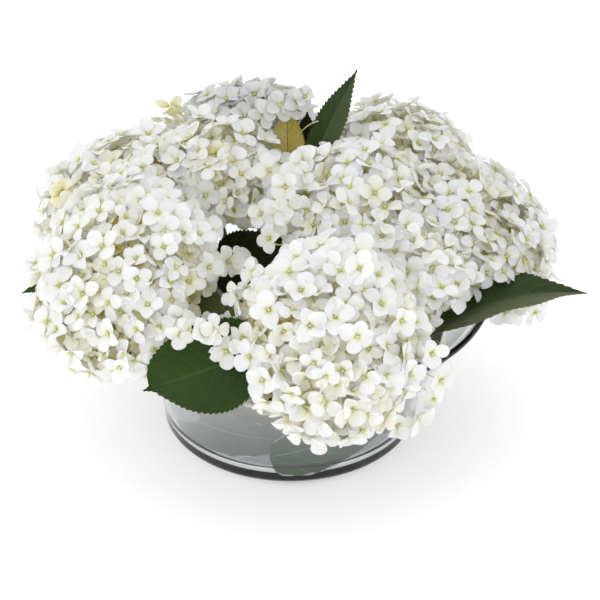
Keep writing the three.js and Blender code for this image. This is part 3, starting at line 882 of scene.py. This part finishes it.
def reachTo(points, corners, middle, ways):
    # how far each way runs from the middle to the nearest triangle. All ways meet all triangles at once:
    # u and v are shares along two sides of a triangle, so a ray passes inside it where both and their sum
    # lie from 0 to 1.
    a, b, c = points[corners].transpose(1, 0, 2)
    first, second, back = b - a, c - a, middle - a
    lean = -ways @ np.cross(first, second).T
    lean = np.where(lean == 0, 1e-30, lean)
    side = np.cross(back, first)
    u = ways @ np.cross(second, back).T / lean
    v = ways @ side.T / lean
    distance = (second * side).sum(axis=1) / lean
    met = (u > -1e-9) & (v > -1e-9) & (u + v < 1 + 1e-9) & (distance > 0)
    return np.where(met, distance, np.inf).min(axis=1)


def addHeart(name):
    # a lumpy ball inside the florets, reaching a share of the way to the head's CAD surface every way
    points, corners = trianglesOf([f"{name}_head"])
    middle = points.mean(axis=0)
    rings, around = heart["rings"], heart["around"]
    ways = ballRings(rings, around, heart["pole"])
    reach = reachTo(points, corners, middle, ways)
    depth = heart["depth"] * chance.uniform(*heart["depths"], len(ways)) * mm
    points = middle + ways * np.maximum(reach - depth, reach * heart["least"])[:, None]
    return addMesh(f"{name}_heart", points, [f[:, ::-1] for f in fanFaces(rings, around)], heartSkin)


def addPedicels(name, centres, axes, head):
    # a thin stalk from under each floret to the end of the nearest branch, curved at both ends
    tips = rayPaths(head)[:, -1] * mm
    nearest = np.linalg.norm(centres[:, None] - tips, axis=-1).argmin(axis=1)
    end = tips[nearest]
    reach = np.linalg.norm(centres - end, axis=1, keepdims=True)
    facing = facingOf(head)
    outward = unit(unit(centres - end) + facing * 0.6)
    bends = (centres, centres - axes * reach * 0.35, end + outward * reach * 0.3, end)
    paths = bezier(*(p[:, None] for p in bends), np.linspace(0, 1, floret["stalkSteps"])[None])
    radii = floret["stalk"] * mm * np.linspace(0.85, 1.1, floret["stalkSteps"])
    return addTubes(f"{name}_pedicels", paths, radii, 4, pedicelSkin)


def clearOfLeaves(centres, axes):
    # whether a floret's petals, out to their tips, cross no leaf and no glass
    reach = (floret["length"] + 2) * mm
    clear = []
    for centre, basis in zip(centres, frameAbout(axes, np.zeros(len(axes)))):
        turns = 2 * np.pi * np.arange(8) / 8
        ways = np.cos(turns)[:, None] * basis[:, 0] + np.sin(turns)[:, None] * basis[:, 1] + 0.25 * basis[:, 2]
        hits = [bare.ray_cast(Vector(centre), Vector(way), reach)[0] for way in ways]
        clear.append(all(hit is None for hit in hits))
    return np.array(clear)


def outOfClearings(centres):
    return np.all([np.linalg.norm(centres - np.array(spot) * mm, axis=1) > radius * mm
                   for spot, radius in clearings], axis=0)


def settled(head, spots, normals, gap, sink, tilt):
    # spots at a gap from each other, sunk by a depth each, that face out of the head and nod to its front.
    # The deeper one sits, the creamier it is drawn: partly as a younger floret, partly as painted shade for its
    # recess.
    which = spread(spots, gap)
    depth = sink(len(which))
    centres = spots[which] - normals[which] * depth[:, None] * mm + chance.normal(0, 1.5 * mm, (len(which), 3))
    front = facingOf(head) * floret["nod"]
    axes = unit(normals[which] + front + chance.normal(0, tilt, (len(which), 3)))
    young = (depth - floret["depth"]) / floret["creamOver"] + chance.normal(0, 0.05, len(which))
    return centres, axes, young


def outerFlorets(name, head, spots, normals):
    # those near the head's surface, and the strays
    sink = lambda n: chance.normal(floret["depth"], floret["unevenness"], n).clip(0, floret["deepest"])
    gap = floret["spacing"] * head["bloom"]
    centres, axes, young = settled(head, spots, normals, gap, sink, floret["tilt"])
    if name in strays:
        loose = np.array(strays[name]) * mm
        centres = np.concatenate([centres, loose])
        away = unit(loose - hubOf(head) * mm) + floret["strayLean"]
        axes = np.concatenate([axes, unit(away + chance.normal(0, floret["strayTilt"], loose.shape))])
        young = np.concatenate([young, np.full(len(loose), floret["strayYouthAndShade"])])
    return centres, axes, young


def innerFlorets(name, head, spots, normals):
    # those that fill the gaps behind the outer ones
    sink = lambda n: chance.uniform(*floret["innerDepths"], n)
    return settled(head, spots, normals, floret["innerSpacing"], sink, floret["tilt"] * 1.3)


total = 0
for name, head in heads.items():
    spots, normals = openSpots(name, head)
    layers = []
    for layer in (outerFlorets, innerFlorets):
        centres, axes, young = layer(name, head, spots, normals)
        keep = clearOfLeaves(centres, axes) & outOfClearings(centres)
        size = head["bloom"] * chance.uniform(*floret["sizes"], keep.sum())
        layers.append((centres[keep], axes[keep], young[keep].clip(0, 1), size))
    centres, axes, young, sizes = layers[0]
    petals = addFlorets(f"{name}_petals", centres, axes, sizes, young, head["grey"],
                        floret["rows"], floret["columns"])
    eyes = addEyes(name, centres, axes)
    pedicels = addPedicels(name, centres, axes, head)
    centres, axes, young, sizes = layers[1]
    inner = addFlorets(f"{name}_inner_petals", centres, axes, sizes, young, head["grey"],
                       floret["innerRows"], floret["innerColumns"])
    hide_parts(f"{name}_head")
    parts = [(petals, "petal_white"), (inner, "petal_white"), (eyes, "petal_white"),
             (addHeart(name), "petal_white"), (pedicels, "stem_green")]
    for part, slot in parts:
        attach(part, "root")
    total += sum(len(p.data.loops) - 2 * len(p.data.polygons) for p, slot in parts)
    print(name, "head:", len(layers[0][0]), "outer florets and", len(centres), "inner ones")
print("triangles in the heads:", total)


# Bare floret stalks, each along four points, with a bud at its end
bareStalks = {
    "left_front": [
        [(-176, -70, 128), (-177, -80, 108), (-176, -80, 98), (-172, -82, 93)],
        [(-160, -72, 124), (-157, -80, 106), (-160, -82, 92), (-170, -84, 92)],
        [(-150, -78, 122), (-147, -88, 112), (-149, -90, 104), (-155, -90, 101)],
    ],
    "centre": [
        [(14, -52, 218), (7, -60, 216), (-4, -62, 206), (-17, -60, 213)],
        [(24, 60, 262), (17, 68, 256), (10, 70, 250), (3, 70, 236)],
    ],
}
for name, stalks in bareStalks.items():
    points = np.array(stalks, float)[:, None] * mm
    paths = bezier(*(points[:, :, i] for i in range(4)), np.linspace(0, 1, 14)[None])
    radii = floret["stalk"] * mm * np.append(np.linspace(1.3, 1.0, 11), [1.8, 2.4, 1.2])
    piece = addTubes(f"{name}_bare_stalks", paths, radii, 8, pedicelSkin)
    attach(piece, "root")
print("bare stalks made")


# Floor, light and camera

def areaLight(name, place, target, size, power, colour):
    data = bpy.data.lights.new(name, "AREA")
    data.shape = "DISK"
    data.size = size
    data.energy = power
    data.color = linear(colour)[:3]
    lamp = bpy.data.objects.new(name, data)
    bpy.context.scene.collection.objects.link(lamp)
    lamp.location = place
    lamp.rotation_euler = (Vector(target) - Vector(place)).to_track_quat("-Z", "Y").to_euler()


def addFloor():
    # smooth painted board, with a faint light of its own so that it stays pale
    material, _, surface = newMaterial("paleFloor")
    setInputs(surface, {
        "Base Color": linear("#ffffff"), "Roughness": 0.9,
        "Emission Color": linear("#ffffff"), "Emission Strength": 0.34,
    })
    reach = 6.0
    corners = np.array([[-1, -1, 0], [1, -1, 0], [1, 1, 0], [-1, 1, 0]]) * reach
    floor = addMesh("floor", corners, [np.array([[0, 1, 2, 3]])], material)


addFloor()
areaLight("key", (-1.2, -1.45, 1.45), (0, 0, 0.15), 1.4, 5.8, "#ffffff")
areaLight("top", (-0.2, 0.0, 2.2), (0, 0, 0.15), 1.6, 2.5, "#fffdf8")

world = bpy.data.worlds.new("studio")
bpy.context.scene.world = world
world.use_nodes = True
setInputs(world.node_tree.nodes["Background"], {"Color": linear("#fcfcff"), "Strength": 0.88})
bpy.context.scene.view_settings.view_transform = "Standard"

view = {"elevation": 32.4, "distance": 1.5, "target": (0.0086, 0.0, 0.1189), "lens": 103.4}


def addCamera():
    data = bpy.data.cameras.new("camera")
    data.lens = view["lens"]
    data.sensor_width = 36
    camera = bpy.data.objects.new("camera", data)
    bpy.context.scene.collection.objects.link(camera)
    rise = math.radians(view["elevation"])
    away = Vector((0, -math.cos(rise), math.sin(rise)))
    camera.location = Vector(view["target"]) + away * view["distance"]
    camera.rotation_euler = (-away).to_track_quat("-Z", "Y").to_euler()
    bpy.context.scene.camera = camera


addCamera()
print("stage made")
